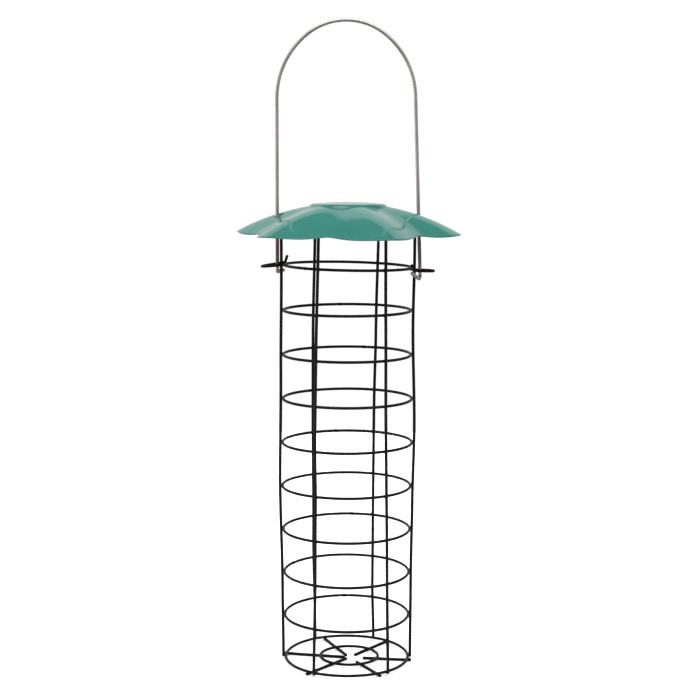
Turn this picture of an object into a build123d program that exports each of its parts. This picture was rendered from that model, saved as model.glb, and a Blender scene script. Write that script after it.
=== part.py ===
from build123d import *
import os
from math import atan, atan2, cos, degrees, pi, radians, sin, sqrt, tan

# A hanging wire feeder for suet balls: a welded cage, a bent-wire bail and a pressed roof that slides on it.
# Millimetres, +Z up. The origin is the centre of the cage, level with the underside of the floor spokes.
# Azimuths are in degrees from +X towards +Y, and the front of the feeder faces -Y.

# Wire gauges
RING_WIRE = 1.5
UPRIGHT_WIRE = 1.65
SPOKE_WIRE = 1.6
BAIL_WIRE = 2.2
WELD_BITE = 0.1  # how far two welded wires sink into each other

# Cage
RING_RADIUS = 38.8  # centreline of every full-size ring
RING_PITCH = 26.97
RING_COUNT = 10
EAR_RING_TILT = 1.1  # the ring that carries the ears sits lower on its right side
RIM_RING_RISE = 24.3  # from the ear ring up to the hidden ring under the roof
UPRIGHTS = {  # azimuths of the foot and of the head
    "right": (0, 0),
    "back_right": (65.2, 62.3),
    "back_left": (121, 121),
    "left": (180, 180),
    "front_left": (240.1, 244.7),
    "front_right": (307.8, 302.5),
}

# Floor: a small ring and six spokes, a little off the cage's axis
FLOOR_CENTRE = (1.3, -0.4)
FLOOR_RING_RADIUS = 17.8
SPOKES = {  # azimuth of the spoke, and how far its inner end stays from the floor's centre
    "right": (353, 8.6),
    "back_right": (53, 6.0),
    "back_left": (113, 4.6),
    "left": (169, 2.6),
    "front_left": (231, 2.6),
    "front_right": (299, 9.4),
}
SPOKE_OVERHANG = 1.2  # beyond the bottom ring's centreline

# Ears: a narrow loop of wire beside each of two uprights, its back strand welded across the ear ring.
# A back tail is listed from its free end towards the loop, a front tail from the loop to its free end;
# each point is (distance from the feeder's axis, y, height above the ear ring).
EAR_TIP_RADIUS = 52.5  # outermost point
EAR_TIP_HALF_WIDTH = 4.1  # from the ear's centreline to each strand at the tip
EAR_ROOT_HALF_WIDTH = 1.95  # and at the ear ring
EAR_TAIL_BEND = 0.9
EAR_STACK = RING_WIRE - WELD_BITE  # from the ear ring up or down to a wire welded across it
LEFT_EAR_DROP = 1.0  # from the ear ring down to the ear's tip
LEFT_EAR_BACK_TAIL = [(36.6, 1.6, 5.4), (37.9, 1.9, EAR_STACK)]
LEFT_EAR_FRONT_TAIL = [(39.4, -2.0, -0.1)]
RIGHT_EAR_DROP = 2.0
RIGHT_EAR_BACK_TAIL = [(37.9, 1.95, -EAR_STACK)]
RIGHT_EAR_FRONT_TAIL = [(41.2, -2.35, -1.9), (38.3, -6.0, 1.6)]

# Bail
BAIL_LEFT_X = -42.5  # the left leg is upright
BAIL_SPAN = 82.55  # between the legs where the arch springs
BAIL_SPRING_Z = 344.2
BAIL_RISE = 46.0  # from the springing up to the arch's crown
BAIL_CROWN_RADIUS = 37.0
BAIL_RIGHT_LEAN = 1.9  # the right leg splays outwards on its way down
LEFT_HOOK_Z = 241.3  # corner under the left leg
LEFT_HOOK_BEND = (0.2, 3.0, -0.4)  # the tip's bend, measured from the corner
LEFT_HOOK_TIP = (-38.9, 5.3, 241.8)  # behind the left upright
RIGHT_HOOK_Z = 238.2
RIGHT_HOOK_BEND = (-0.6, -2.9, -1.2)
RIGHT_HOOK_TIP = (38.3, -5.1, 240.7)  # in front of the right upright
HOOK_BEND_RADII = (1.9, 1.4)  # under the leg, then where the tip curls inwards

# Roof
ROOF_SHEET = 0.75  # measured straight down
ROOF_PETALS = 6
ROOF_TURN = -12.0  # azimuth of the ridge nearest to the right-hand bail leg
DOME_RADIUS = 137.0  # the ridges follow this sphere
DOME_APEX_Z = 282.65
PLATEAU_APEX_Z = 283.1
PLATEAU_CROWN_RADIUS = 212.0  # the raised centre is a shallow cap of this sphere
PLATEAU_RADIUS = 21.3
PLATEAU_FOOT_RADIUS = 24.6  # the step down from the plateau ends here
BAND_RADIUS = 18.0  # the petals start here, round the plateau's cap
CAP_MARGIN = 1.0  # the cap reaches this far under the petals' inner band
CAP_LAP = 0.02  # and is this much thinner on each face there
PETAL_TIP_RADIUS = 68.65
PETAL_NOTCH_RADIUS = 55.45
PETAL_FULLNESS = 0.81  # below 1, the rim stays wide around a tip and turns in faster at a notch
CREASE_START_RADIUS = 16.2
CREASE_SLOPE = 0.159  # how fast the creases deepen below the ridges
BAIL_HOLE_RADIUS = 2.65
BAIL_HOLE_REACH = 41.35  # from the axis to each hole's centre

PETAL_HALF_ANGLE = 180 / ROOF_PETALS
BOTTOM_RING_Z = SPOKE_WIRE + RING_WIRE / 2 - WELD_BITE
EAR_RING_Z = BOTTOM_RING_Z + (RING_COUNT - 1) * RING_PITCH
EAR_RING_DROP = RING_RADIUS * sin(radians(EAR_RING_TILT))
RIM_RING_Z = EAR_RING_Z + RIM_RING_RISE
UPRIGHT_RADIUS = RING_RADIUS + (RING_WIRE + UPRIGHT_WIRE) / 2 - WELD_BITE


def polar(radius, azimuth, z=0.0):
    return Vector(radius * cos(radians(azimuth)), radius * sin(radians(azimuth)), z)


def wire_along(path, diameter):
    """A round wire swept along a path of lines and arcs."""
    start = path @ 0
    section = Plane(origin=start, z_dir=path % 0) * Circle(diameter / 2)
    return sweep(section, path=path)


def straight_wire(start, end, diameter):
    run = end - start
    return Plane(origin=start, z_dir=run) * extrude(Circle(diameter / 2), amount=run.length)


def ring(radius, diameter, z, centre=(0.0, 0.0), tilt=0.0):
    """A wire ring; a positive tilt lowers its +X side."""
    place = Pos(centre[0], centre[1], z) * Rot(Y=tilt)
    return place * Torus(radius, diameter / 2)


def make_rings():
    rings = {}
    for index in range(RING_COUNT - 1):
        rings[f"ring_{index + 1:02d}"] = ring(RING_RADIUS, RING_WIRE, BOTTOM_RING_Z + index * RING_PITCH)
    rings[f"ring_{RING_COUNT:02d}"] = ring(
        RING_RADIUS, RING_WIRE, EAR_RING_Z - EAR_RING_DROP / 2, tilt=EAR_RING_TILT
    )
    rings["rim_ring"] = ring(RING_RADIUS, RING_WIRE, RIM_RING_Z)
    return rings


def make_uprights():
    """Straight wires from the bottom ring up to the hidden rim ring, outside every ring."""
    foot_z = BOTTOM_RING_Z - RING_WIRE / 2
    head_z = RIM_RING_Z + RING_WIRE / 3
    return {
        f"upright_{side}": straight_wire(
            polar(UPRIGHT_RADIUS, foot, foot_z), polar(UPRIGHT_RADIUS, head, head_z), UPRIGHT_WIRE
        )
        for side, (foot, head) in UPRIGHTS.items()
    }


def make_floor():
    """The inner ring lies level with the bottom ring, and the spokes cross under both."""
    centre = Vector(*FLOOR_CENTRE, SPOKE_WIRE / 2)
    pieces = {"floor_inner_ring": ring(FLOOR_RING_RADIUS, RING_WIRE, BOTTOM_RING_Z, FLOOR_CENTRE)}
    for side, (azimuth, inner_stop) in SPOKES.items():
        direction = polar(1, azimuth)
        along = centre.X * direction.X + centre.Y * direction.Y
        across = centre.X * direction.Y - centre.Y * direction.X
        reach = sqrt((RING_RADIUS + SPOKE_OVERHANG) ** 2 - across**2) - along
        pieces[f"floor_spoke_{side}"] = straight_wire(
            centre + direction * inner_stop, centre + direction * reach, SPOKE_WIRE
        )
    return pieces


def make_ear(side, drop, back_tail, front_tail):
    """One wire: its back tail, out along the back strand, round the tip, in along the front strand.

    side is 1 on the right and -1 on the left, and drop is how far the tip hangs below the ear ring.
    """
    ring_z = EAR_RING_Z - EAR_RING_DROP / 2 - side * EAR_RING_DROP
    tip_x = EAR_TIP_RADIUS - RING_WIRE / 2
    widening = (EAR_TIP_HALF_WIDTH - EAR_ROOT_HALF_WIDTH) / (tip_x - RING_RADIUS)
    loop_radius = EAR_TIP_HALF_WIDTH / tan(pi / 4 + atan(widening) / 2) * 0.99
    tip = [(tip_x, EAR_TIP_HALF_WIDTH, -drop), (tip_x, -EAR_TIP_HALF_WIDTH, -drop)]
    route = [Vector(side * x, y, ring_z + height) for x, y, height in back_tail + tip + front_tail]
    radii = [EAR_TAIL_BEND] * (len(back_tail) - 1) + [loop_radius] * 2
    radii += [EAR_TAIL_BEND] * (len(front_tail) - 1)
    return wire_along(FilletPolyline(*route, radius=radii), RING_WIRE)


def bail_arch():
    """Three tangent arcs in the XZ plane: a tight crown between two flatter shoulders."""
    half = BAIL_SPAN / 2
    axis_x = BAIL_LEFT_X + half
    rise_left = BAIL_RISE - BAIL_CROWN_RADIUS
    shoulder = (half**2 + rise_left**2 - BAIL_CROWN_RADIUS**2) / (2 * (half - BAIL_CROWN_RADIUS))
    offset = shoulder - half
    join = degrees(atan2(rise_left, offset))
    in_front = Plane(origin=(0, 0, 0), x_dir=(1, 0, 0), z_dir=(0, -1, 0))
    left = in_front * CenterArc((axis_x + offset, BAIL_SPRING_Z), shoulder, 180, -join)
    crown = in_front * CenterArc(
        (axis_x, BAIL_SPRING_Z + rise_left), BAIL_CROWN_RADIUS, 180 - join, 2 * join - 180
    )
    right = in_front * CenterArc(
        (axis_x - offset, BAIL_SPRING_Z), shoulder, join, BAIL_RIGHT_LEAN - join
    )
    return left, crown, right


def make_bail():
    """One wire: left hook, left leg, arch, right leg, right hook."""
    left, crown, right = bail_arch()
    left_top = left @ 0
    right_top = right @ 1
    leg_drop = right_top.Z - RIGHT_HOOK_Z
    right_foot_x = right_top.X + leg_drop * tan(radians(BAIL_RIGHT_LEAN))
    left_corner = Vector(BAIL_LEFT_X, 0, LEFT_HOOK_Z)
    right_corner = Vector(right_foot_x, 0, RIGHT_HOOK_Z)
    left_hook = [Vector(*LEFT_HOOK_TIP), left_corner + Vector(*LEFT_HOOK_BEND), left_corner]
    right_hook = [right_corner, right_corner + Vector(*RIGHT_HOOK_BEND), Vector(*RIGHT_HOOK_TIP)]
    left_leg = FilletPolyline(*left_hook, left_top, radius=HOOK_BEND_RADII[::-1])
    right_leg = FilletPolyline(right_top, *right_hook, radius=HOOK_BEND_RADII)
    edges = left_leg.edges() + [left, crown, right] + right_leg.edges()
    return wire_along(Wire(edges), BAIL_WIRE)


def roof_height(radius, from_ridge):
    """Top of the sheet; from_ridge runs from 0 on a ridge to 1 in a crease."""
    ridge_z = DOME_APEX_Z - DOME_RADIUS + sqrt(DOME_RADIUS**2 - radius**2)
    crease = max(0.0, radius - CREASE_START_RADIUS) * CREASE_SLOPE
    return ridge_z - crease * (1 - cos(pi * from_ridge)) / 2


def plateau_height(radius):
    return PLATEAU_APEX_Z - PLATEAU_CROWN_RADIUS + sqrt(PLATEAU_CROWN_RADIUS**2 - radius**2)


def rim_radius(from_ridge):
    """Where the sheet ends, seen from above: wide petals between narrow rounded notches."""
    bulge = ((1 + cos(pi * from_ridge)) / 2) ** PETAL_FULLNESS
    return PETAL_NOTCH_RADIUS + (PETAL_TIP_RADIUS - PETAL_NOTCH_RADIUS) * bulge


def petal_section(azimuth):
    """Radial section of one petal's sheet: the plateau's outer band, the step down and the dome."""
    from_ridge = abs(azimuth) / PETAL_HALF_ANGLE
    outer_radius = PETAL_TIP_RADIUS + 2
    middle_radius = (PLATEAU_FOOT_RADIUS + outer_radius) / 2
    foot_z = roof_height(PLATEAU_FOOT_RADIUS, from_ridge)
    foot_slope = (roof_height(PLATEAU_FOOT_RADIUS + 0.1, from_ridge) - foot_z) / 0.1
    band_radii = (BAND_RADIUS, (BAND_RADIUS + PLATEAU_RADIUS) / 2, PLATEAU_RADIUS)
    lip_slope = -PLATEAU_RADIUS / sqrt(PLATEAU_CROWN_RADIUS**2 - PLATEAU_RADIUS**2)

    def profile(drop):
        band = ThreePointArc(*[(radius, plateau_height(radius) - drop) for radius in band_radii])
        foot = (PLATEAU_FOOT_RADIUS, foot_z - drop)
        step = Spline(band @ 1, foot, tangents=[(1, lip_slope), (1, foot_slope)])
        middle = (middle_radius, roof_height(middle_radius, from_ridge) - drop)
        dome = ThreePointArc(foot, middle, (outer_radius, roof_height(outer_radius, from_ridge) - drop))
        return [band, step, dome]

    top = profile(0)
    bottom = profile(ROOF_SHEET)
    ends = [Line(top[0] @ 0, bottom[0] @ 0), Line(top[-1] @ 1, bottom[-1] @ 1)]
    radial = Plane(origin=(0, 0, 0), x_dir=polar(1, azimuth), z_dir=polar(1, azimuth - 90))
    return radial.location * Wire(top + bottom + ends)


def make_petal():
    """One sixth of the roof: sections swept from crease to crease, then cut to its rounded rim."""
    sections = [petal_section(PETAL_HALF_ANGLE * step / 3) for step in range(-3, 4)]
    sheet = Solid.make_loft(sections)
    shares = [step / 6 for step in range(-6, 7)]
    rim = [polar(rim_radius(abs(share)), PETAL_HALF_ANGLE * share) for share in shares]
    beyond = [polar(PETAL_NOTCH_RADIUS, side * (PETAL_HALF_ANGLE + 20)) for side in (-1, 1)]
    notch_run = [polar(1, side * PETAL_HALF_ANGLE + 90) for side in (-1, 1)]
    outline = Wire(
        [
            Line((0, 0), beyond[0]),
            Line(beyond[0], rim[0]),
            Spline(*rim, tangents=notch_run),
            Line(rim[-1], beyond[1]),
            Line(beyond[1], (0, 0)),
        ]
    )
    blank = Pos(0, 0, DOME_APEX_Z - 40) * extrude(Face(outline), amount=60, dir=(0, 0, 1))
    return sheet & blank


def make_cap():
    """The round centre of the plateau, set just inside the petals' sheet where the two lap."""
    reach = BAND_RADIUS + CAP_MARGIN
    radii = (0, reach / 2, reach)
    top = ThreePointArc(*[(radius, plateau_height(radius) - CAP_LAP) for radius in radii])
    under = ThreePointArc(*[(radius, plateau_height(radius) - ROOF_SHEET + CAP_LAP) for radius in radii])
    sides = [Line(top @ 0, under @ 0), Line(top @ 1, under @ 1)]
    section = Plane.XZ * Face(Wire([top, under] + sides))
    return revolve(section, axis=Axis.Z)


def make_roof():
    """Six petals round the cap, and a hole for each leg of the bail."""
    petal = make_petal()
    petals = [Rot(Z=ROOF_TURN + 2 * PETAL_HALF_ANGLE * index) * petal for index in range(ROOF_PETALS)]
    sheet = make_cap().fuse(*petals)
    for side in (1, -1):
        sheet -= Pos(side * BAIL_HOLE_REACH, 0, DOME_APEX_Z) * Cylinder(BAIL_HOLE_RADIUS, 60)
    return sheet


pieces = {}
pieces.update(make_uprights())
pieces.update(make_rings())
pieces.update(make_floor())
pieces["ear_left"] = make_ear(-1, LEFT_EAR_DROP, LEFT_EAR_BACK_TAIL, LEFT_EAR_FRONT_TAIL)
pieces["ear_right"] = make_ear(1, RIGHT_EAR_DROP, RIGHT_EAR_BACK_TAIL, RIGHT_EAR_FRONT_TAIL)
pieces["bail"] = make_bail()
pieces["roof"] = make_roof()

os.makedirs("parts", exist_ok=True)
for name, solid in pieces.items():
    solid.label = name
    export_step(solid, f"parts/{name}.step")
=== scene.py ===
from math import atan2, cos, degrees, exp, hypot, pi, radians, sin, sqrt, tan

import bmesh
import bpy
from mathutils import Matrix, Vector, noise


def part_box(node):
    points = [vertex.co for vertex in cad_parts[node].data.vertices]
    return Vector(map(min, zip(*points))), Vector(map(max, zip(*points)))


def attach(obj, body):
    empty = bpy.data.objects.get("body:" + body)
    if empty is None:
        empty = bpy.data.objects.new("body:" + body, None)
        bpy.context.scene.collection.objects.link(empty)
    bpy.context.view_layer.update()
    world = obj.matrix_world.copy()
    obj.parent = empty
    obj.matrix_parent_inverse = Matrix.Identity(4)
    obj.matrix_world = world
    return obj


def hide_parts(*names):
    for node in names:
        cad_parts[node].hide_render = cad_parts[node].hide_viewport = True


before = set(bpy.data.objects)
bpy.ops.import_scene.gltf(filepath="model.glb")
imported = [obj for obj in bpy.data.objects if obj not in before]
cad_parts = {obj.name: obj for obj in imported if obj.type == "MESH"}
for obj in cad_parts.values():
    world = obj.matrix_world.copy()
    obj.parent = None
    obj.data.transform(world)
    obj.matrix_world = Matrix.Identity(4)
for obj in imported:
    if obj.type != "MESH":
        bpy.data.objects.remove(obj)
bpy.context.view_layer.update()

MM = 0.001
DEGREES_PER_RADIAN = 57.3

# Everything below is in millimetres until a mesh is made, and +Z is up.
# Azimuths are in degrees from +X towards +Y; the front of the feeder faces -Y.

# Wire gauges
RING_WIRE = 1.5
UPRIGHT_WIRE = 1.65
SPOKE_WIRE = 1.6
COAT = 0.12  # thickness of the black coat on the cage's wires
BAIL_WIRE = 2.2
WIRE_SIDES = 20  # round a wire's section
CUT_END = ((0.16, 0.975), (0.28, 0.89), (0.34, 0.72), (0.36, 0.4))  # how a sheared wire rounds off
END_INSET = 0.3  # the rounded ends start this far inside the CAD's wire

# Cage
RING_RADIUS = 38.8
FLOOR_RING_RADIUS = 17.8
RING_STEPS = 216  # points round a ring's centreline
UPRIGHT_RADIUS = 40.275
UPRIGHTS = {  # azimuths of the foot and of the head
    "right": (0, 0),
    "back_right": (65.2, 62.3),
    "back_left": (121, 121),
    "left": (180, 180),
    "front_left": (240.1, 244.7),
    "front_right": (307.8, 302.5),
}
SIDEWAYS_BOWS = {  # height, and degrees off the upright's straight line
    "back_right": ((0, 0.0), (40, 1.6), (150, 2.0), (200, 0.9), (270, -0.8)),
    "back_left": ((0, -0.3), (70, 1.5), (150, 2.0), (200, 1.9), (270, -0.2)),
    "front_left": ((0, 0.5), (60, 1.0), (100, 0.5), (150, -0.9), (200, -0.7), (260, 0.5)),
    "front_right": ((0, 0.0), (150, -0.5), (230, 0.0), (270, 0.6)),
}
OUTWARD_BOWS = {  # azimuth: heights, and millimetres that the cage stands out there
    180: ((0, -0.8), (45, -0.3), (115, 0.9), (180, 0.3), (257, -0.2)),
    0: ((0, -1.1), (45, -1.0), (100, -0.4), (145, 0.5), (210, -0.7), (257, 0.0)),
}
RING_JOINTS = {  # azimuth of each ring's butt weld
    "ring_01": 118,
    "ring_02": 93,
    "ring_03": 152,
    "ring_04": 86,
    "ring_05": 241,
    "ring_06": 101,
    "ring_07": 128,
    "ring_08": 75,
    "ring_09": 97,
    "ring_10": 230,
    "rim_ring": 140,
    "floor_inner_ring": 32,
}
BUTT_WELD_SWELL = 0.16  # extra share of the wire's diameter at a butt weld
BUTT_WELD_NECK = 0.05  # and the share lost just beside it
RING_WELD_SIZE = (0.62, 1.25, 1.12)  # half sizes of a fillet: outwards, round the ring and up
SPOKE_WELD_SIZE = (1.2, 1.05, 0.55)  # along the spoke, across it and up
SPOKE_AZIMUTHS = {
    "right": 353,
    "back_right": 53,
    "back_left": 113,
    "left": 169,
    "front_left": 231,
    "front_right": 299,
}

# Ears, as (radius, y, height above the ear ring), with the bend at each inner corner
LEFT_EAR_Z = 245.35
RIGHT_EAR_Z = 243.86
LEFT_EAR = [(36.6, 1.6, 5.4), (37.9, 1.9, 1.4), (51.75, 4.1, -1.0), (51.75, -4.1, -1.0), (39.4, -2.0, -0.1)]
LEFT_EAR_BENDS = (0.9, 3.4, 3.4)
RIGHT_EAR = [
    (37.9, 1.95, -1.4),
    (51.75, 4.1, -2.0),
    (51.75, -4.1, -2.0),
    (41.2, -2.35, -1.9),
    (38.3, -6.0, 1.6),
]
RIGHT_EAR_BENDS = (3.4, 3.4, 0.9)

# Bail
BAIL_LEFT_X = -42.5
BAIL_SPAN = 82.55
BAIL_SPRING_Z = 344.2
BAIL_RISE = 46.0
BAIL_CROWN_RADIUS = 37.0
BAIL_RIGHT_LEAN = 1.9
LEFT_HOOK = [(-38.9, 5.3, 241.8), (-42.3, 3.0, 240.9), (-42.5, 0.0, 241.3)]
RIGHT_HOOK_Z = 238.2
RIGHT_HOOK_TIP = (38.3, -5.1, 240.7)
HOOK_BENDS = (1.9, 1.4)

# Roof
ROOF_SHEET = 0.75
ROOF_PETALS = 6
ROOF_TURN = -12.0
DOME_RADIUS = 137.0
DOME_APEX_Z = 282.65
PLATEAU_APEX_Z = 283.1
PLATEAU_CROWN_RADIUS = 212.0
PLATEAU_RADIUS = 21.3
PLATEAU_FOOT_RADIUS = 24.6
PETAL_TIP_RADIUS = 68.65
PETAL_NOTCH_RADIUS = 55.45
PETAL_FULLNESS = 0.81
CREASE_START_RADIUS = 16.2
CREASE_SLOPE = 0.159
PETAL_LIFTS = {168: 1.0, 288: -0.6}  # azimuth of a ridge, and how far its tip is bent up
LIFT_GAIN = 1.15  # the bend is still growing at the tip
BAIL_HOLE_RADIUS = 2.65
BAIL_HOLE_REACH = 41.35
PETAL_HALF_ANGLE = 180 / ROOF_PETALS
ROOF_STEPS_ROUND = 432
PLATEAU_ROWS = 9
STEP_ROWS = 8  # from the plateau down to its foot
DOME_ROWS = 52
EDGE_STEPS = 5  # round the sheet's edge

# Studio. Places run from the back horizon at 0 through overhead at 0.5 to the front horizon at 1.
GLOW = 2.0  # the brightest the studio's reflected light may be
REFLECTED_SWEEP = (  # place and brightness
    (0.0, 0.60),
    (0.05, 0.85),
    (0.12, 0.85),
    (0.242, 0.80),
    (0.26, 0.14),
    (0.50, 0.14),
    (0.55, 2.0),
    (0.73, 2.0),
    (0.80, 0.20),
    (1.0, 0.26),
)
LEFT_WALL = 0.85
RIGHT_WALL = 0.42
BELOW = 0.12  # share of the light that is left in reflections from straight below


# ---------------------------------------------------------------- small geometry


def node_box(node):
    """Lowest and highest corner of a CAD node, in millimetres."""
    low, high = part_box(node)
    return low / MM, high / MM


def polar(radius, azimuth, z=0.0):
    return Vector((radius * cos(radians(azimuth)), radius * sin(radians(azimuth)), z))


def smooth_step(value, low, high):
    step = min(max((value - low) / (high - low), 0.0), 1.0)
    return step * step * (3 - 2 * step)


def bell(value, width):
    return exp(-((value / width) ** 2))


def eased(points, place):
    """Value of a smooth line through (place, value) points."""
    for (low, first), (high, second) in zip(points, points[1:]):
        if place <= high:
            return first + (second - first) * smooth_step(place, low, high)
    return points[-1][1]


def angle_between(first, second):
    return (first - second + 180) % 360 - 180


def wobble(position, seed, size, amount):
    """A smooth offset: noise of the given wavelength and amount, in millimetres.

    It differs slightly from run to run: noise_vector is seeded by the clock, and nothing here sets its seed.
    """
    return noise.noise_vector(Vector(position) / size + Vector((seed * 7.3, seed * 3.1, seed * 1.7))) * amount


def rounded_route(corners, radii, step=0.25):
    """A polyline whose inner corners are tangent arcs."""
    corners = [Vector(corner) for corner in corners]
    points = [corners[0].copy()]
    for index, radius in enumerate(radii, start=1):
        here = corners[index]
        to_last = (corners[index - 1] - here).normalized()
        to_next = (corners[index + 1] - here).normalized()
        half = to_last.angle(to_next) / 2
        centre = here + (to_last + to_next).normalized() * (radius / sin(half))
        first = here + to_last * (radius / tan(half)) - centre
        last = here + to_next * (radius / tan(half)) - centre
        sweep = first.angle(last)
        normal = first.cross(last).normalized()
        count = max(4, round(radius * sweep / step))
        for turn in range(count + 1):
            points.append(centre + Matrix.Rotation(sweep * turn / count, 3, normal) @ first)
    points.append(corners[-1].copy())
    return points


def resample(points, spacing):
    """Adds points on long straight runs, so that a tube can be bent along them."""
    result = [points[0]]
    for last, here in zip(points, points[1:]):
        length = (here - last).length
        if length < 1e-6:
            continue
        count = max(1, round(length / spacing))
        result += [last.lerp(here, index / count) for index in range(1, count + 1)]
    return result


# ---------------------------------------------------------------- meshes


def mesh_object(name, vertices, faces):
    mesh = bpy.data.meshes.new(name)
    mesh.from_pydata([tuple(vertex * MM for vertex in point) for point in vertices], [], faces)
    mesh.update()
    mesh.polygons.foreach_set("use_smooth", [True] * len(mesh.polygons))
    piece = bpy.data.objects.new(name, mesh)
    bpy.context.scene.collection.objects.link(piece)
    return piece


def section_frames(points, closed):
    """A tangent and two twist-free side directions at each point."""
    count = len(points)
    frames = []
    side = None
    for index in range(count):
        if closed:
            run = points[(index + 1) % count] - points[index - 1]
        else:
            run = points[min(index + 1, count - 1)] - points[max(index - 1, 0)]
        tangent = run.normalized()
        if side is None:
            side = tangent.orthogonal()
        side = (side - tangent * side.dot(tangent)).normalized()
        frames.append((tangent, side, tangent.cross(side)))
    return frames


def wire_mesh(points, diameters, closed=False):
    """Vertices and faces of a round wire; diameters is one number, or one for each point."""
    if not isinstance(diameters, list):
        diameters = [diameters] * len(points)
    frames = section_frames(points, closed)
    stations = [(place, axes, size / 2) for place, axes, size in zip(points, frames, diameters)]
    if not closed:
        for end, way in ((0, -1), (-1, 1)):
            place, axes, radius = stations[end]
            caps = [(place + axes[0] * (way * out * radius), axes, radius * scale) for out, scale in CUT_END]
            stations = caps[::-1] + stations if end == 0 else stations + caps
    vertices, faces = [], []
    for centre, (_, side, up), radius in stations:
        for index in range(WIRE_SIDES):
            angle = 2 * pi * index / WIRE_SIDES
            vertices.append(centre + side * (radius * cos(angle)) + up * (radius * sin(angle)))
    rows = len(stations)
    for row in range(rows if closed else rows - 1):
        here = row * WIRE_SIDES
        after = (row + 1) % rows * WIRE_SIDES
        for index in range(WIRE_SIDES):
            beside = (index + 1) % WIRE_SIDES
            faces.append((here + index, here + beside, after + beside, after + index))
    if not closed:
        faces.append(tuple(reversed(range(WIRE_SIDES))))
        faces.append(tuple((rows - 1) * WIRE_SIDES + index for index in range(WIRE_SIDES)))
    return vertices, faces


def wire_piece(name, points, diameters, closed=False):
    return mesh_object(name, *wire_mesh(points, diameters, closed))


def lump_mesh(centre, axes, sizes, seed, rings=8, around=12):
    """A small uneven ellipsoid: the swollen metal of a weld."""
    vertices = [centre + axes[2] * sizes[2]]
    for ring in range(1, rings):
        polar_angle = pi * ring / rings
        for index in range(around):
            turn = 2 * pi * index / around
            shape = (sin(polar_angle) * cos(turn), sin(polar_angle) * sin(turn), cos(polar_angle))
            swell = 1 + noise.noise(Vector(shape) * 1.7 + Vector((seed * 1.37, seed * 0.71, 0))) * 0.25
            offset = sum((axis * (size * part) for axis, size, part in zip(axes, sizes, shape)), Vector())
            vertices.append(centre + offset * swell)
    vertices.append(centre - axes[2] * sizes[2])
    faces = [(0, 1 + index, 1 + (index + 1) % around) for index in range(around)]
    for ring in range(rings - 2):
        here = 1 + ring * around
        for index in range(around):
            beside = (index + 1) % around
            faces.append((here + index, here + around + index, here + around + beside, here + beside))
    last = len(vertices) - 1
    here = last - around
    faces += [(here + index, last, here + (index + 1) % around) for index in range(around)]
    return vertices, faces


def joined(meshes):
    vertices, faces = [], []
    for more_vertices, more_faces in meshes:
        base = len(vertices)
        vertices += more_vertices
        faces += [tuple(base + index for index in face) for face in more_faces]
    return vertices, faces


# ---------------------------------------------------------------- materials


def add_node(tree, kind, inputs=None, **settings):
    """A new node whose inputs are set to values or linked to other nodes' outputs."""
    node = tree.nodes.new(kind)
    for key, value in settings.items():
        setattr(node, key, value)
    for key, value in (inputs or {}).items():
        if isinstance(value, bpy.types.NodeSocket):
            tree.links.new(value, node.inputs[key])
        else:
            node.inputs[key].default_value = value
    return node


def set_stops(ramp, colours):
    """Gives a colour ramp its (place, colour) stops."""
    elements = ramp.color_ramp.elements
    while len(elements) < len(colours):
        elements.new(0.5)
    for element, (place, colour) in zip(elements, colours):
        element.position = place
        element.color = (*colour, 1.0)


class Nodes:
    """A thin helper for building a node material."""

    def __init__(self, name):
        self.material = bpy.data.materials.new(name)
        self.material.use_nodes = True
        self.tree = self.material.node_tree
        self.shader = self.tree.nodes["Principled BSDF"]
        self.position = self.tree.nodes.new("ShaderNodeTexCoord").outputs["Object"]

    def add(self, kind, inputs=None, **settings):
        return add_node(self.tree, kind, inputs, **settings)

    def noise(self, scale, detail=2.0, roughness=0.5, vector=None):
        inputs = {"Vector": vector or self.position, "Scale": scale, "Detail": detail, "Roughness": roughness}
        return self.add("ShaderNodeTexNoise", inputs).outputs["Fac"]

    def ramp(self, factor, *stops):
        """stops are (place, value) or (place, colour)."""
        node = self.add("ShaderNodeValToRGB", {"Fac": factor})
        colours = [(place, value if isinstance(value, tuple) else (value,) * 3) for place, value in stops]
        set_stops(node, colours)
        return node.outputs["Color"]

    def mix(self, factor, first, second):
        node = self.add("ShaderNodeMix", data_type="RGBA")
        for key, value in ((0, factor), (6, first), (7, second)):
            if isinstance(value, bpy.types.NodeSocket):
                self.tree.links.new(value, node.inputs[key])
            elif isinstance(value, tuple):
                node.inputs[key].default_value = (*value, 1.0)
            else:
                node.inputs[key].default_value = value
        return node.outputs[2]

    def height(self, low, high):
        """0 below low and 1 above high, both in millimetres above the floor."""
        z = self.add("ShaderNodeSeparateXYZ", {"Vector": self.position}).outputs["Z"]
        inputs = {"Value": z, "From Min": low * MM, "From Max": high * MM}
        return self.add("ShaderNodeMapRange", inputs, interpolation_type="SMOOTHSTEP").outputs["Result"]

    def bump(self, height, strength, distance):
        inputs = {"Height": height, "Strength": strength, "Distance": distance}
        return self.add("ShaderNodeBump", inputs).outputs["Normal"]

    def finish(self, **links):
        for key, value in links.items():
            socket = self.shader.inputs[key.replace("_", " ")]
            if isinstance(value, bpy.types.NodeSocket):
                self.tree.links.new(value, socket)
            elif isinstance(value, tuple):
                socket.default_value = (*value, 1.0)
            else:
                socket.default_value = value
        return self.material


def black_coat_material():
    """Black powder coat: deep black with a low sheen and slightly duller patches."""
    nodes = Nodes("black_powder_coat")
    patches = nodes.noise(70, 3.0)
    return nodes.finish(
        Base_Color=nodes.ramp(patches, (0.35, (0.0075, 0.0070, 0.0065)), (0.75, (0.0130, 0.0122, 0.0112))),
        Roughness=nodes.ramp(nodes.noise(180, 2.0), (0.3, 0.30), (0.7, 0.42)),
        Normal=nodes.bump(nodes.noise(700, 1.0), 0.05, 0.00004),
        IOR=1.5,
        Specular_IOR_Level=0.06,
    )


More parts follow.
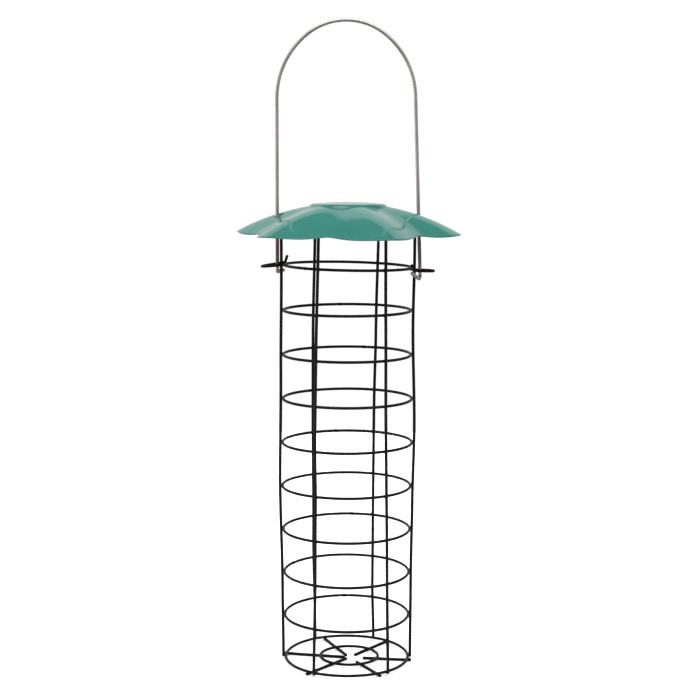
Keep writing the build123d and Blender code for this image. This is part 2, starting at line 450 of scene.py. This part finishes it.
def bright_wire_material():
    """Drawn steel: smooth, with dull patches, and painted shade in a dark warm brown on the legs under the
    roof.
    """
    nodes = Nodes("bright_steel_wire")
    clean = nodes.ramp(nodes.noise(60, 1.0), (0.3, (0.50, 0.46, 0.43)), (0.7, (0.64, 0.605, 0.58)))
    # painted shade: a dark warm brown stands in for the roof's shade on the legs beneath it
    painted_roof_shade = nodes.ramp(nodes.noise(160, 3.0), (0.3, (0.16, 0.095, 0.078)), (0.7, (0.26, 0.175, 0.15)))
    with_painted_roof_shade = nodes.mix(nodes.height(243, 247), clean, painted_roof_shade)
    return nodes.finish(
        # the painted shade fades in between 243 and 247 mm and out between 270 and 276 mm, so the hooks and
        # the arch stay clean
        Base_Color=nodes.mix(nodes.height(270, 276), with_painted_roof_shade, clean),
        Metallic=0.85,
        Roughness=nodes.ramp(nodes.noise(60, 2.0), (0.3, 0.17), (0.7, 0.24)),
    )


def enamel_material():
    """Glossy green enamel on pressed steel, slightly uneven in depth of colour."""
    nodes = Nodes("green_enamel")
    mottle = nodes.noise(24, 3.0)
    colour = nodes.ramp(mottle, (0.3, (0.0205, 0.125, 0.102)), (0.7, (0.0255, 0.144, 0.117)))
    return nodes.finish(
        Base_Color=colour,
        Roughness=nodes.ramp(nodes.noise(110, 2.0), (0.3, 0.07), (0.7, 0.12)),
        Normal=nodes.bump(nodes.noise(240, 2.0, 0.4), 0.03, 0.0002),
        IOR=1.5,
    )


def dress(piece, body, material, slot, *nodes):
    piece.data.materials.clear()
    piece.data.materials.append(material)
    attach(piece, body)
    if nodes:
        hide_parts(*nodes)
    return piece


# ---------------------------------------------------------------- camera, floor and light


def make_camera():
    camera = bpy.data.objects.new("camera", bpy.data.cameras.new("camera"))
    bpy.context.scene.collection.objects.link(camera)
    camera.data.lens = 77.45
    camera.data.sensor_width = 36.0
    camera.data.clip_start = 0.05
    camera.location = Vector((1.41, -907.3, 305.65)) * MM
    down = radians(7.04)
    roll = radians(0.15)
    camera.rotation_mode = "XYZ"
    aim = Matrix.Rotation(pi / 2 - down, 3, "X")
    camera.rotation_euler = (aim @ Matrix.Rotation(roll, 3, "Z")).to_euler()
    bpy.context.scene.camera = camera


def make_floor():
    """A round white light table, which hides contact shadows; beyond it the studio is as white."""
    radius, count = 0.8, 128
    mesh = bpy.data.meshes.new("floor")
    corners = [polar(radius, 360 * index / count) for index in range(count)]
    mesh.from_pydata(corners, [], [tuple(range(count))])
    floor = bpy.data.objects.new("floor", mesh)
    bpy.context.scene.collection.objects.link(floor)
    nodes = Nodes("white_table")
    shade = nodes.ramp(nodes.noise(3, 2.0), (0.3, 0.88), (0.7, 0.90))
    mesh.materials.append(
        nodes.finish(Base_Color=shade, Roughness=0.9, Emission_Color=(1.0, 1.0, 1.0), Emission_Strength=0.14)
    )
    floor.visible_glossy = False


def add_lamp(name, kind, place, aim, power, in_reflections=True, **settings):
    light = bpy.data.lights.new(name, kind)
    light.energy = power
    for key, value in settings.items():
        setattr(light, key, value)
    lamp = bpy.data.objects.new(name, light)
    lamp.location = place
    lamp.rotation_euler = (Vector(aim) - Vector(place)).to_track_quat("-Z", "Y").to_euler()
    lamp.visible_glossy = in_reflections
    bpy.context.scene.collection.objects.link(lamp)


def reflected_light(tree):
    """What gloss sees: a pale sweep behind, a dim studio overhead and a bright band above the camera."""
    way = add_node(tree, "ShaderNodeTexCoord").outputs["Generated"]
    x, y, z = add_node(tree, "ShaderNodeSeparateXYZ", {0: way}).outputs
    rise = add_node(tree, "ShaderNodeMath", {0: z}, operation="ABSOLUTE").outputs[0]
    angle = add_node(tree, "ShaderNodeMath", {0: rise, 1: y}, operation="ARCTAN2").outputs[0]
    place = add_node(tree, "ShaderNodeMath", {0: angle, 1: pi}, operation="DIVIDE").outputs[0]
    sweep = add_node(tree, "ShaderNodeValToRGB", {"Fac": place})
    set_stops(sweep, [(stop, (brightness / GLOW,) * 3) for stop, brightness in REFLECTED_SWEEP])
    across = add_node(tree, "ShaderNodeMath", {0: x}, operation="ABSOLUTE").outputs[0]
    inputs = {"Value": across, "From Min": 0.55, "From Max": 0.9}
    beside = add_node(tree, "ShaderNodeMapRange", inputs, interpolation_type="SMOOTHSTEP").outputs["Result"]
    inputs = {"Value": x, "From Min": -0.3, "From Max": 0.3}
    inputs.update({"To Min": LEFT_WALL / GLOW, "To Max": RIGHT_WALL / GLOW})
    wall = add_node(tree, "ShaderNodeMapRange", inputs).outputs["Result"]
    inputs = {0: beside, 6: sweep.outputs["Color"], 7: wall}
    around = add_node(tree, "ShaderNodeMix", inputs, data_type="RGBA").outputs[2]
    inputs = {"Value": z, "From Min": -0.6, "From Max": -0.25, "To Min": BELOW}
    dimming = add_node(tree, "ShaderNodeMapRange", inputs).outputs["Result"]
    return add_node(tree, "ShaderNodeVectorMath", {0: around, "Scale": dimming}, operation="SCALE").outputs[0]


def make_world():
    """White to the camera, and the studio's reflected light to everything else."""
    world = bpy.data.worlds.new("studio")
    bpy.context.scene.world = world
    world.use_nodes = True
    tree = world.node_tree
    reflected = tree.nodes["Background"]
    reflected.inputs["Strength"].default_value = GLOW
    tree.links.new(reflected_light(tree), reflected.inputs["Color"])
    seen = add_node(tree, "ShaderNodeBackground", {"Strength": 1.05, "Color": (1, 1, 1, 1)})
    camera_ray = add_node(tree, "ShaderNodeLightPath").outputs["Is Camera Ray"]
    inputs = {0: camera_ray, 1: reflected.outputs[0], 2: seen.outputs[0]}
    pick = add_node(tree, "ShaderNodeMixShader", inputs)
    tree.links.new(pick.outputs[0], tree.nodes["World Output"].inputs["Surface"])


def make_light():
    make_world()
    add_lamp("overhead", "SUN", (0, 0, 2), (0, 0, 0), 3.4, False, angle=radians(100))
    add_lamp("top_softbox", "AREA", (0.0, -0.6, 1.5), (0, -0.6, 0), 7.0, size=1.4)
    view = bpy.context.scene.view_settings
    view.view_transform = "Standard"
    view.look = "None"


# ---------------------------------------------------------------- cage


def stand_out(azimuth, z):
    """How far the cage bows outwards there; it is welded by hand and not quite round."""
    total = 0.0
    for middle, bow in OUTWARD_BOWS.items():
        off = abs(angle_between(azimuth, middle))
        total += eased(bow, z) * (1 - smooth_step(off, 12, 62))
    return total


def ring_points(node, seed):
    """Centreline of one ring, from just after its butt weld round to just before it."""
    low, high = node_box(node)
    centre = (low + high) / 2
    radius = (high.y - low.y - RING_WIRE) / 2
    tilt = (high.z - low.z - RING_WIRE) / 2 / radius
    inner = node == "floor_inner_ring"
    points = []
    for index in range(RING_STEPS):
        azimuth = RING_JOINTS[node] + 360 * index / RING_STEPS
        off = angle_between(azimuth, RING_JOINTS[node]) * radius / DEGREES_PER_RADIAN
        slip = 0.22 * bell(off - 1.2, 1.6) - 0.16 * bell(off + 1.2, 1.6)
        bow = 0.0 if inner else stand_out(azimuth, centre.z)
        point = polar(radius + bow + slip, azimuth)
        point.z -= point.x * tilt
        points.append(centre + point + wobble(polar(30, azimuth), seed, 24, 0.1))
    return points


def ring_diameters(node):
    """A ring's wire swells where its two ends were butt welded."""
    radius = FLOOR_RING_RADIUS if node == "floor_inner_ring" else RING_RADIUS
    diameters = []
    for index in range(RING_STEPS):
        off = min(index, RING_STEPS - index) * 2 * pi * radius / RING_STEPS
        growth = BUTT_WELD_SWELL * bell(off, 0.9) - BUTT_WELD_NECK * bell(off - 2.2, 1.0)
        diameters.append((RING_WIRE + 2 * COAT) * (1 + growth))
    return diameters


def make_rings(material):
    for seed, node in enumerate(RING_JOINTS, start=1):
        piece = wire_piece(f"{node}_wire", ring_points(node, seed), ring_diameters(node), closed=True)
        dress(piece, "cage", material, "black_wire", node)


def upright_point(side, z):
    foot, head = UPRIGHTS[side]
    low, high = node_box(f"upright_{side}")
    share = (z - low.z) / (high.z - low.z)
    start = polar(UPRIGHT_RADIUS, foot)
    end = polar(UPRIGHT_RADIUS, head)
    straight = start.lerp(end, share)
    azimuth = degrees(atan2(straight.y, straight.x))
    if side in SIDEWAYS_BOWS:
        azimuth += eased(SIDEWAYS_BOWS[side], z)
    return polar(UPRIGHT_RADIUS + stand_out(azimuth, z), azimuth, z)


def make_uprights(material):
    for seed, side in enumerate(UPRIGHTS, start=31):
        node = f"upright_{side}"
        low, high = node_box(node)
        count = 120
        points = []
        for index in range(count + 1):
            z = low.z + END_INSET + (high.z - low.z - 2 * END_INSET) * index / count
            sway = wobble((0, 0, z), seed, 40, 0.12)
            points.append(upright_point(side, z) + Vector((sway.x, sway.y, 0)))
        piece = wire_piece(f"{node}_wire", points, UPRIGHT_WIRE + 2 * COAT)
        dress(piece, "cage", material, "black_wire", node)


def ring_weld(node, side, seed):
    """The fillet where an upright crosses a ring."""
    low, high = node_box(node)
    tilt = (high.z - low.z - RING_WIRE) / 2 / RING_RADIUS
    z = (low.z + high.z) / 2
    place = upright_point(side, z)
    up = Vector((0, 0, 1))
    outward = Vector((place.x, place.y, 0)).normalized()
    centre = place - outward * (UPRIGHT_WIRE / 2) + up * (z - place.x * tilt - place.z)
    grow = 1 + 0.2 * noise.noise(Vector((seed * 3.7, 0.5, 0.5)))
    sizes = [size * grow for size in RING_WELD_SIZE]
    return lump_mesh(centre, (outward, up.cross(outward), up), sizes, seed)


def spoke_weld(side, middle, radius, seed):
    """The fillet where a spoke crosses a floor ring with that middle and radius."""
    start, end = spoke_ends(side)
    up = Vector((0, 0, 1))
    run = (end - start).normalized()
    offset = start - Vector((middle.x, middle.y, start.z))
    along = offset.dot(run)
    reach = -along + sqrt(along**2 - offset.length_squared + radius**2)
    centre = start + run * reach
    centre.z = SPOKE_WIRE
    return lump_mesh(centre, (run, run.cross(up), up), SPOKE_WELD_SIZE, seed)


def make_welds(material):
    """The small fillets of metal where rings cross uprights and spokes."""
    lumps = []
    for node in RING_JOINTS:
        if node != "floor_inner_ring":
            for side in UPRIGHTS:
                lumps.append(ring_weld(node, side, len(lumps) + 1))
    low, high = node_box("floor_inner_ring")
    crossed = ((Vector(), RING_RADIUS), ((low + high) / 2, FLOOR_RING_RADIUS))
    for side in SPOKE_AZIMUTHS:
        for middle, radius in crossed:
            lumps.append(spoke_weld(side, middle, radius, len(lumps) + 1))
    piece = mesh_object("weld_fillets", *joined(lumps))
    dress(piece, "cage", material, "black_wire")


def spoke_ends(side):
    """Inner and outer end of a spoke's centreline, from the corners of its box."""
    low, high = node_box(f"floor_spoke_{side}")
    way = polar(1, SPOKE_AZIMUTHS[side])
    trim_x = SPOKE_WIRE / 2 * abs(way.y)
    trim_y = SPOKE_WIRE / 2 * abs(way.x)
    xs = (low.x + trim_x, high.x - trim_x)
    ys = (low.y + trim_y, high.y - trim_y)
    if way.x < 0:
        xs = xs[::-1]
    if way.y < 0:
        ys = ys[::-1]
    z = SPOKE_WIRE / 2 + COAT
    return Vector((xs[0], ys[0], z)), Vector((xs[1], ys[1], z))


def make_spokes(material):
    for seed, side in enumerate(SPOKE_AZIMUTHS, start=51):
        start, end = spoke_ends(side)
        run = (end - start).normalized()
        route = resample([start + run * END_INSET, end - run * END_INSET], 1.0)
        points = [point + Vector((*wobble(point, seed, 18, 0.12).xy, 0)) for point in route]
        node = f"floor_spoke_{side}"
        dress(wire_piece(f"{node}_wire", points, SPOKE_WIRE + 2 * COAT), "cage", material, "black_wire", node)


def make_ears(material):
    for side, z, corners, bends in (
        (-1, LEFT_EAR_Z, LEFT_EAR, LEFT_EAR_BENDS),
        (1, RIGHT_EAR_Z, RIGHT_EAR, RIGHT_EAR_BENDS),
    ):
        route = [Vector((side * x, y, z + height)) for x, y, height in corners]
        points = resample(rounded_route(route, bends), 0.6)
        node = "ear_left" if side < 0 else "ear_right"
        dress(wire_piece(f"{node}_wire", points, RING_WIRE + 2 * COAT), "cage", material, "black_wire", node)


# ---------------------------------------------------------------- bail


def arch_points():
    """Three tangent arcs in the XZ plane: a tight crown between two flatter shoulders."""
    half = BAIL_SPAN / 2
    middle = BAIL_LEFT_X + half
    rise = BAIL_RISE - BAIL_CROWN_RADIUS
    shoulder = (half**2 + rise**2 - BAIL_CROWN_RADIUS**2) / (2 * (half - BAIL_CROWN_RADIUS))
    offset = shoulder - half
    join = degrees(atan2(rise, offset))
    arcs = (
        (middle + offset, BAIL_SPRING_Z, shoulder, 180, 180 - join),
        (middle, BAIL_SPRING_Z + rise, BAIL_CROWN_RADIUS, 180 - join, join),
        (middle - offset, BAIL_SPRING_Z, shoulder, join, BAIL_RIGHT_LEAN),
    )
    points = []
    for x, z, radius, start, end in arcs:
        count = max(6, round(abs(end - start) * radius / DEGREES_PER_RADIAN / 1.2))
        for index in range(1 if points else 0, count + 1):
            angle = radians(start + (end - start) * index / count)
            points.append(Vector((x + radius * cos(angle), 0, z + radius * sin(angle))))
    return points


def make_bail(material):
    arch = arch_points()
    lean = tan(radians(BAIL_RIGHT_LEAN))
    foot_x = arch[-1].x + (arch[-1].z - RIGHT_HOOK_Z) * lean
    right_hook = [(foot_x, 0, RIGHT_HOOK_Z), (foot_x - 0.6, -2.9, RIGHT_HOOK_Z - 1.2), RIGHT_HOOK_TIP]
    left_leg = rounded_route([*LEFT_HOOK, arch[0]], HOOK_BENDS[::-1])
    right_leg = rounded_route([arch[-1], *right_hook], HOOK_BENDS)
    points = resample(left_leg + arch[1:-1] + right_leg, 1.2)
    dress(wire_piece("bail_wire", points, BAIL_WIRE), "bail", material, "bright_wire", "bail")


# ---------------------------------------------------------------- roof


def from_ridge(azimuth):
    """0 on a ridge and 1 in a crease."""
    steps = (azimuth - ROOF_TURN) / PETAL_HALF_ANGLE
    return abs((steps + 1) % 2 - 1)


def rim_radius(azimuth):
    bulge = ((1 + cos(pi * from_ridge(azimuth))) / 2) ** PETAL_FULLNESS
    return PETAL_NOTCH_RADIUS + (PETAL_TIP_RADIUS - PETAL_NOTCH_RADIUS) * bulge


def dome_height(radius, azimuth):
    ridge_z = DOME_APEX_Z - DOME_RADIUS + sqrt(DOME_RADIUS**2 - radius**2)
    crease = max(0.0, radius - CREASE_START_RADIUS) * CREASE_SLOPE
    height = ridge_z - crease * (1 - cos(pi * from_ridge(azimuth))) / 2
    reach = smooth_step(radius, PLATEAU_FOOT_RADIUS + 6, PETAL_TIP_RADIUS + 8)
    for ridge, lift in PETAL_LIFTS.items():
        off = min(abs(angle_between(azimuth, ridge)) / PETAL_HALF_ANGLE, 1.0)
        height += lift * LIFT_GAIN * reach * (1 + cos(pi * off)) / 2
    return height


def plateau_height(radius):
    return PLATEAU_APEX_Z - PLATEAU_CROWN_RADIUS + sqrt(PLATEAU_CROWN_RADIUS**2 - radius**2)


def sheet_height(x, y):
    """Top of the pressed sheet."""
    radius = hypot(x, y)
    azimuth = degrees(atan2(y, x))
    if radius <= PLATEAU_RADIUS:
        height = plateau_height(radius)
    elif radius >= PLATEAU_FOOT_RADIUS:
        height = dome_height(radius, azimuth)
    else:
        run = PLATEAU_FOOT_RADIUS - PLATEAU_RADIUS
        share = (radius - PLATEAU_RADIUS) / run
        foot = dome_height(PLATEAU_FOOT_RADIUS, azimuth)
        foot_slope = (dome_height(PLATEAU_FOOT_RADIUS + 0.1, azimuth) - foot) / 0.1
        lip_slope = -PLATEAU_RADIUS / PLATEAU_CROWN_RADIUS
        rest = 1 - share
        lip = plateau_height(PLATEAU_RADIUS)
        height = lip * rest**2 * (1 + 2 * share) + foot * share**2 * (3 - 2 * share)
        height += lip_slope * run * share * rest**2 - foot_slope * run * share**2 * rest
    return height + 0.03 * noise.noise(Vector((x / 17, y / 17, 0.4)))


def sheet_normal(x, y):
    step = 0.2
    slope_x = (sheet_height(x + step, y) - sheet_height(x - step, y)) / (2 * step)
    slope_y = (sheet_height(x, y + step) - sheet_height(x, y - step)) / (2 * step)
    return Vector((-slope_x, -slope_y, 1)).normalized()


def sheet_plan():
    """A polar grid of flat points and faces, with the two bail holes cut out and drawn round."""
    edge = ROOF_SHEET / 2
    plan = bmesh.new()
    centre = plan.verts.new((0, 0, 0))
    azimuths = [360 * step / ROOF_STEPS_ROUND for step in range(ROOF_STEPS_ROUND)]
    rows = []
    for index in range(1, PLATEAU_ROWS + 1):
        radius = PLATEAU_RADIUS * (index / PLATEAU_ROWS)
        rows.append([plan.verts.new(polar(radius, azimuth)) for azimuth in azimuths])
    for index in range(1, STEP_ROWS + 1):
        radius = PLATEAU_RADIUS + (PLATEAU_FOOT_RADIUS - PLATEAU_RADIUS) * index / STEP_ROWS
        rows.append([plan.verts.new(polar(radius, azimuth)) for azimuth in azimuths])
    for index in range(1, DOME_ROWS + 1):
        row = []
        for azimuth in azimuths:
            reach = rim_radius(azimuth) - edge - PLATEAU_FOOT_RADIUS
            row.append(plan.verts.new(polar(PLATEAU_FOOT_RADIUS + reach * index / DOME_ROWS, azimuth)))
        rows.append(row)
    for step in range(ROOF_STEPS_ROUND):
        plan.faces.new((centre, rows[0][step], rows[0][(step + 1) % ROOF_STEPS_ROUND]))
    for inner, outer in zip(rows, rows[1:]):
        for step in range(ROOF_STEPS_ROUND):
            beside = (step + 1) % ROOF_STEPS_ROUND
            plan.faces.new((inner[step], outer[step], outer[beside], inner[beside]))
    for side in (-1, 1):
        hole = Vector((side * BAIL_HOLE_REACH, 0, 0))
        radius = BAIL_HOLE_RADIUS + edge
        inside = [vertex for vertex in plan.verts if (vertex.co - hole).length < radius]
        bmesh.ops.delete(plan, geom=inside, context="VERTS")
        for vertex in plan.verts:
            if vertex.is_boundary and (vertex.co - hole).length < radius + 3:
                vertex.co = hole + (vertex.co - hole).normalized() * radius
    return plan


def away_from_sheet(vertex):
    """Flat direction out of the sheet at a point on its rim or on a hole's edge."""
    out = Vector()
    for edge in vertex.link_edges:
        if edge.is_boundary:
            middle = edge.link_faces[0].calc_center_median()
            along = (edge.verts[1].co - edge.verts[0].co).normalized()
            away = (edge.verts[0].co + edge.verts[1].co) / 2 - middle
            out += (away - along * away.dot(along)).normalized()
    return out.normalized()


def make_roof(material):
    """The sheet: a top skin, an under skin and a rounded edge along the rim and both holes."""
    plan = sheet_plan()
    plan.verts.index_update()
    tops, unders, vertices, faces = {}, {}, [], []
    for vertex in plan.verts:
        x, y = vertex.co.xy
        top = Vector((x, y, sheet_height(x, y)))
        normal = sheet_normal(x, y)
        tops[vertex.index] = (len(vertices), top, normal)
        vertices.append(top)
        unders[vertex.index] = len(vertices)
        vertices.append(top - normal * ROOF_SHEET)
    for face in plan.faces:
        loop = [vertex.index for vertex in face.verts]
        faces.append(tuple(tops[index][0] for index in loop))
        faces.append(tuple(unders[index] for index in reversed(loop)))
    edge_rows = {}
    for vertex in plan.verts:
        if not vertex.is_boundary:
            continue
        out = away_from_sheet(vertex)
        first, top, normal = tops[vertex.index]
        out = (out - normal * out.dot(normal)).normalized()
        middle = top - normal * (ROOF_SHEET / 2)
        row = [first]
        for step in range(1, EDGE_STEPS):
            angle = pi * step / EDGE_STEPS
            row.append(len(vertices))
            vertices.append(middle + (normal * cos(angle) + out * sin(angle)) * (ROOF_SHEET / 2))
        row.append(unders[vertex.index])
        edge_rows[vertex.index] = row
    for edge in plan.edges:
        if edge.is_boundary:
            loop = edge.link_loops[0]
            start = edge_rows[loop.vert.index]
            end = edge_rows[loop.link_loop_next.vert.index]
            for step in range(EDGE_STEPS):
                faces.append((end[step], start[step], start[step + 1], end[step + 1]))
    plan.free()
    dress(mesh_object("roof_sheet", vertices, faces), "roof", material, "green_enamel", "roof")


# ---------------------------------------------------------------- the feeder


make_camera()
make_floor()
make_light()
coat = black_coat_material()
make_rings(coat)
make_uprights(coat)
make_spokes(coat)
make_ears(coat)
make_welds(coat)
make_bail(bright_wire_material())
make_roof(enamel_material())
